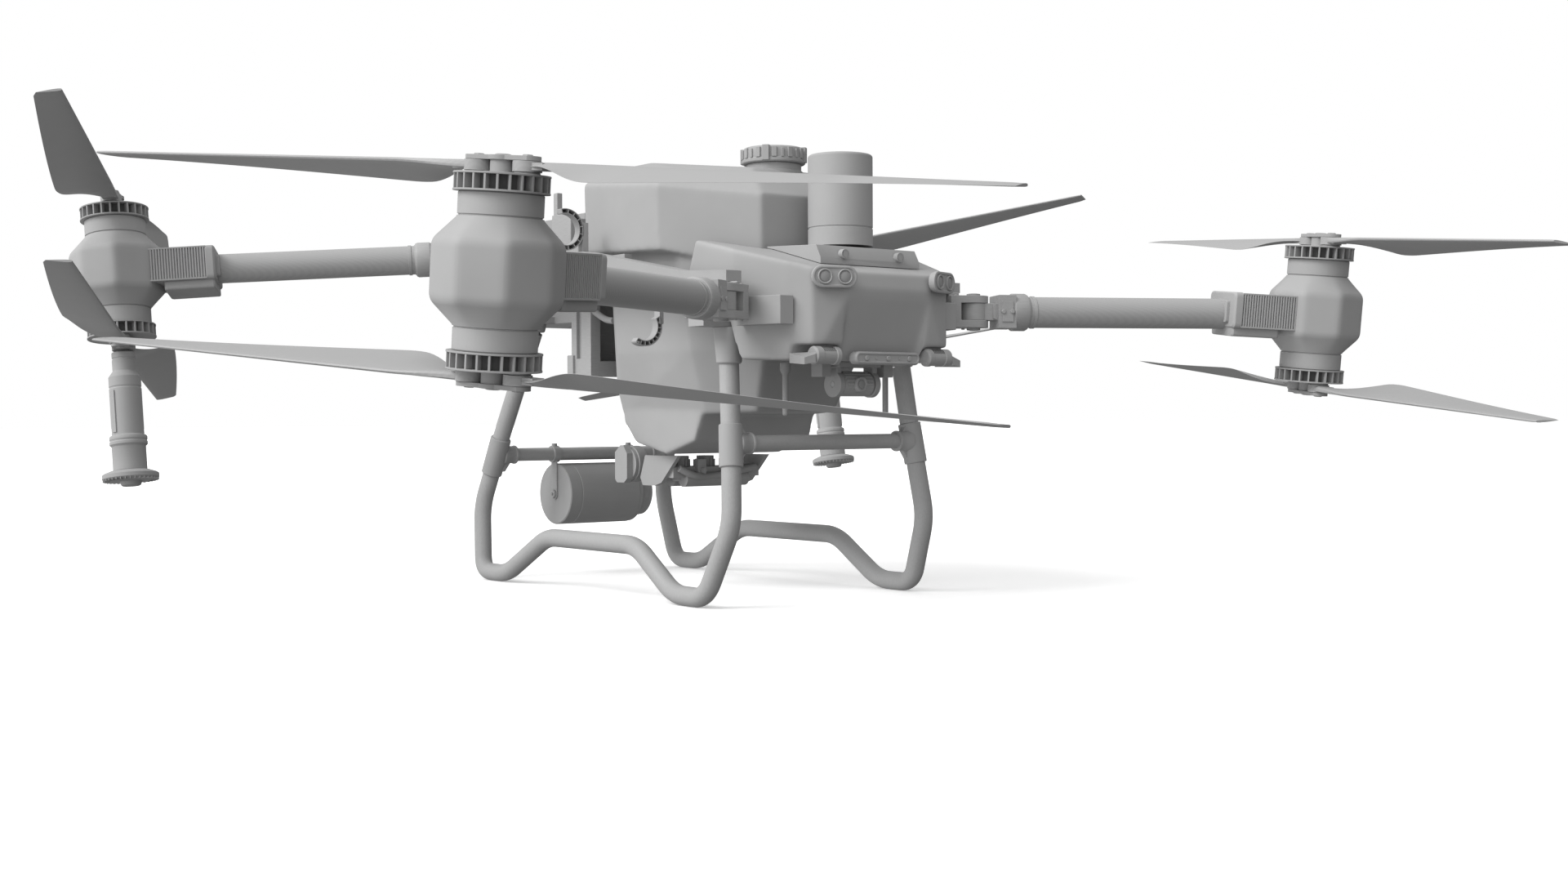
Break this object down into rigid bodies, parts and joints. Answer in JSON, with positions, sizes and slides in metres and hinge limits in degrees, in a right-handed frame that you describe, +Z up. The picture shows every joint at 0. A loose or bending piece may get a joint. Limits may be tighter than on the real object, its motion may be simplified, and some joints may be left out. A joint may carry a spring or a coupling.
{
  "type": "agricultural spray drone",
  "caption": "Folding-arm agricultural spray drone with coaxial rotors, centre tank, spray lances, radar and tubular skids.",
  "frame": {"origin": "on the ground, midway between the four motors, which is the bottom centre of the box", "axes": "+Z up, -Y towards the nose, -X towards the drone's right side"},
  "size_m": [2.3232, 2.7024, 0.8148],
  "materials": {
    "shell": "matte light grey",
    "dark_plastic": "matte grey",
    "metal": "matte anodised",
    "carbon": "matte fibre composite",
    "soft_trim": "matte"
  },
  "bodies": {
    "airframe": {"tank": "shell", "center_frame": "dark_plastic", "rear_frame": "metal", "nose_fairing": "shell", "vision_modules": "dark_plastic", "nose_lamps": "metal", "radar_tray": "shell", "front_radar": "shell", "gimbal_yoke": "dark_plastic", "antennas": "dark_plastic", "skids": "metal", "cross_tubes": "metal", "leg_joints": "shell", "rear_radar": "dark_plastic", "rear_radar_bracket": "metal", "rear_sensor": "dark_plastic", "pump_base": "dark_plastic", "arm_hinges": "metal", "cable_boots": "soft_trim", "arm_clips": "dark_plastic", "supply_hose": "soft_trim"},
    "cap": {"tank_cap": "dark_plastic"},
    "battery_pack": {"battery": "dark_plastic"},
    "camera_head": {"gimbal_camera": "metal"},
    "arm_fr": {"arm_fr": "carbon", "motor_pod_fr": "shell"},
    "rotor_fr_upper": {"hub_fr_upper": "dark_plastic"},
    "blade_fr_upper_a": {"blade_fr_upper_a": "carbon"},
    "blade_fr_upper_b": {"blade_fr_upper_b": "carbon"},
    "rotor_fr_lower": {"hub_fr_lower": "dark_plastic"},
    "blade_fr_lower_a": {"blade_fr_lower_a": "carbon"},
    "blade_fr_lower_b": {"blade_fr_lower_b": "carbon"},
    "arm_fl": {"arm_fl": "carbon", "motor_pod_fl": "shell"},
    "rotor_fl_upper": {"hub_fl_upper": "dark_plastic"},
    "blade_fl_upper_a": {"blade_fl_upper_a": "carbon"},
    "blade_fl_upper_b": {"blade_fl_upper_b": "carbon"},
    "rotor_fl_lower": {"hub_fl_lower": "dark_plastic"},
    "blade_fl_lower_a": {"blade_fl_lower_a": "carbon"},
    "blade_fl_lower_b": {"blade_fl_lower_b": "carbon"},
    "arm_rr": {"arm_rr": "carbon", "motor_pod_rr": "shell", "lance_rr": "shell"},
    "rotor_rr_upper": {"hub_rr_upper": "dark_plastic"},
    "blade_rr_upper_a": {"blade_rr_upper_a": "carbon"},
    "blade_rr_upper_b": {"blade_rr_upper_b": "carbon"},
    "rotor_rr_lower": {"hub_rr_lower": "dark_plastic"},
    "blade_rr_lower_a": {"blade_rr_lower_a": "carbon"},
    "blade_rr_lower_b": {"blade_rr_lower_b": "carbon"},
    "disc_rr": {"spray_disc_rr": "dark_plastic"},
    "arm_rl": {"arm_rl": "carbon", "motor_pod_rl": "shell", "lance_rl": "shell"},
    "rotor_rl_upper": {"hub_rl_upper": "dark_plastic"},
    "blade_rl_upper_a": {"blade_rl_upper_a": "carbon"},
    "blade_rl_upper_b": {"blade_rl_upper_b": "carbon"},
    "rotor_rl_lower": {"hub_rl_lower": "dark_plastic"},
    "blade_rl_lower_a": {"blade_rl_lower_a": "carbon"},
    "blade_rl_lower_b": {"blade_rl_lower_b": "carbon"},
    "disc_rl": {"spray_disc_rl": "dark_plastic"}
  },
  "joints": [
    {"name": "cap_lift", "type": "slide", "parent": "airframe", "child": "cap", "axis": [0, 0, 1], "range_m": [0, 0.3]},
    {"name": "battery_lift", "type": "slide", "parent": "airframe", "child": "battery_pack", "axis": [0, 0, 1], "range_m": [0, 0.3]},
    {"name": "camera_tilt", "type": "hinge", "parent": "airframe", "child": "camera_head", "pos_m": [0, -0.404, 0.368], "axis": [1, 0, 0], "range_deg": [-30, 90]},
    {"name": "arm_fr_fold", "type": "hinge", "parent": "airframe", "child": "arm_fr", "pos_m": [-0.276, -0.409, 0.497], "axis": [0, 0, -1], "range_deg": [0, 70]},
    {"name": "rotor_fr_upper_spin", "type": "hinge", "parent": "arm_fr", "child": "rotor_fr_upper", "pos_m": [-0.846, -0.71, 0.497], "axis": [0, -0.1018, 0.9948], "continuous": true},
    {"name": "blade_fr_upper_a_fold", "type": "hinge", "parent": "rotor_fr_upper", "child": "blade_fr_upper_a", "pos_m": [-0.83054, -0.75694, 0.62559], "axis": [0, -0.1018, 0.9948], "range_deg": [0, 90]},
    {"name": "blade_fr_upper_b_fold", "type": "hinge", "parent": "rotor_fr_upper", "child": "blade_fr_upper_b", "pos_m": [-0.86146, -0.69006, 0.63243], "axis": [0, 0.1018, -0.9948], "range_deg": [0, 90]},
    {"name": "rotor_fr_lower_spin", "type": "hinge", "parent": "arm_fr", "child": "rotor_fr_lower", "pos_m": [-0.846, -0.71, 0.497], "axis": [0, 0.1018, -0.9948], "continuous": true},
    {"name": "blade_fr_lower_a_fold", "type": "hinge", "parent": "rotor_fr_lower", "child": "blade_fr_lower_a", "pos_m": [-0.83054, -0.72994, 0.36157], "axis": [0, -0.1018, 0.9948], "range_deg": [0, 90]},
    {"name": "blade_fr_lower_b_fold", "type": "hinge", "parent": "rotor_fr_lower", "child": "blade_fr_lower_b", "pos_m": [-0.86146, -0.66306, 0.36841], "axis": [0, 0.1018, -0.9948], "range_deg": [0, 90]},
    {"name": "arm_fl_fold", "type": "hinge", "parent": "airframe", "child": "arm_fl", "pos_m": [0.276, -0.409, 0.497], "axis": [0, 0, 1], "range_deg": [0, 70]},
    {"name": "rotor_fl_upper_spin", "type": "hinge", "parent": "arm_fl", "child": "rotor_fl_upper", "pos_m": [0.846, -0.71, 0.497], "axis": [0, 0.1018, -0.9948], "continuous": true},
    {"name": "blade_fl_upper_a_fold", "type": "hinge", "parent": "rotor_fl_upper", "child": "blade_fl_upper_a", "pos_m": [0.83054, -0.75694, 0.62559], "axis": [0, 0.1018, -0.9948], "range_deg": [0, 90]},
    {"name": "blade_fl_upper_b_fold", "type": "hinge", "parent": "rotor_fl_upper", "child": "blade_fl_upper_b", "pos_m": [0.86146, -0.69006, 0.63243], "axis": [0, -0.1018, 0.9948], "range_deg": [0, 90]},
    {"name": "rotor_fl_lower_spin", "type": "hinge", "parent": "arm_fl", "child": "rotor_fl_lower", "pos_m": [0.846, -0.71, 0.497], "axis": [0, -0.1018, 0.9948], "continuous": true},
    {"name": "blade_fl_lower_a_fold", "type": "hinge", "parent": "rotor_fl_lower", "child": "blade_fl_lower_a", "pos_m": [0.83054, -0.72994, 0.36157], "axis": [0, 0.1018, -0.9948], "range_deg": [0, 90]},
    {"name": "blade_fl_lower_b_fold", "type": "hinge", "parent": "rotor_fl_lower", "child": "blade_fl_lower_b", "pos_m": [0.86146, -0.66306, 0.36841], "axis": [0, -0.1018, 0.9948], "range_deg": [0, 90]},
    {"name": "arm_rr_fold", "type": "hinge", "parent": "airframe", "child": "arm_rr", "pos_m": [-0.277, 0.409, 0.622], "axis": [0.0496, -0.0265, -0.9984], "range_deg": [-70, 0]},
    {"name": "rotor_rr_upper_spin", "type": "hinge", "parent": "arm_rr", "child": "rotor_rr_upper", "pos_m": [-0.841, 0.71, 0.586], "axis": [0, 0.1542, 0.988], "continuous": true},
    {"name": "blade_rr_upper_a_fold", "type": "hinge", "parent": "rotor_rr_upper", "child": "blade_rr_upper_a", "pos_m": [-0.82501, 0.76343, 0.71197], "axis": [0, 0.1542, 0.988], "range_deg": [-90, 0]},
    {"name": "blade_rr_upper_b_fold", "type": "hinge", "parent": "rotor_rr_upper", "child": "blade_rr_upper_b", "pos_m": [-0.85699, 0.69749, 0.72226], "axis": [0, -0.1542, -0.988], "range_deg": [-90, 0]},
    {"name": "rotor_rr_lower_spin", "type": "hinge", "parent": "arm_rr", "child": "rotor_rr_lower", "pos_m": [-0.841, 0.71, 0.586], "axis": [0, -0.1542, -0.988], "continuous": true},
    {"name": "blade_rr_lower_a_fold", "type": "hinge", "parent": "rotor_rr_lower", "child": "blade_rr_lower_a", "pos_m": [-0.82501, 0.72251, 0.44974], "axis": [0, 0.1542, 0.988], "range_deg": [-90, 0]},
    {"name": "blade_rr_lower_b_fold", "type": "hinge", "parent": "rotor_rr_lower", "child": "blade_rr_lower_b", "pos_m": [-0.85699, 0.65657, 0.46003], "axis": [0, -0.1542, -0.988], "range_deg": [-90, 0]},
    {"name": "disc_rr_spin", "type": "hinge", "parent": "arm_rr", "child": "disc_rr", "pos_m": [-0.841, 0.65141, 0.21054], "axis": [0, 0.1542, 0.988], "continuous": true},
    {"name": "arm_rl_fold", "type": "hinge", "parent": "airframe", "child": "arm_rl", "pos_m": [0.277, 0.409, 0.622], "axis": [0.0496, 0.0265, 0.9984], "range_deg": [-70, 0]},
    {"name": "rotor_rl_upper_spin", "type": "hinge", "parent": "arm_rl", "child": "rotor_rl_upper", "pos_m": [0.841, 0.71, 0.586], "axis": [0, -0.1542, -0.988], "continuous": true},
    {"name": "blade_rl_upper_a_fold", "type": "hinge", "parent": "rotor_rl_upper", "child": "blade_rl_upper_a", "pos_m": [0.82501, 0.76343, 0.71197], "axis": [0, -0.1542, -0.988], "range_deg": [-90, 0]},
    {"name": "blade_rl_upper_b_fold", "type": "hinge", "parent": "rotor_rl_upper", "child": "blade_rl_upper_b", "pos_m": [0.85699, 0.69749, 0.72226], "axis": [0, 0.1542, 0.988], "range_deg": [-90, 0]},
    {"name": "rotor_rl_lower_spin", "type": "hinge", "parent": "arm_rl", "child": "rotor_rl_lower", "pos_m": [0.841, 0.71, 0.586], "axis": [0, 0.1542, 0.988], "continuous": true},
    {"name": "blade_rl_lower_a_fold", "type": "hinge", "parent": "rotor_rl_lower", "child": "blade_rl_lower_a", "pos_m": [0.82501, 0.72251, 0.44974], "axis": [0, -0.1542, -0.988], "range_deg": [-90, 0]},
    {"name": "blade_rl_lower_b_fold", "type": "hinge", "parent": "rotor_rl_lower", "child": "blade_rl_lower_b", "pos_m": [0.85699, 0.65657, 0.46003], "axis": [0, 0.1542, 0.988], "range_deg": [-90, 0]},
    {"name": "disc_rl_spin", "type": "hinge", "parent": "arm_rl", "child": "disc_rl", "pos_m": [0.841, 0.65141, 0.21054], "axis": [0, -0.1542, -0.988], "continuous": true}
  ]
}
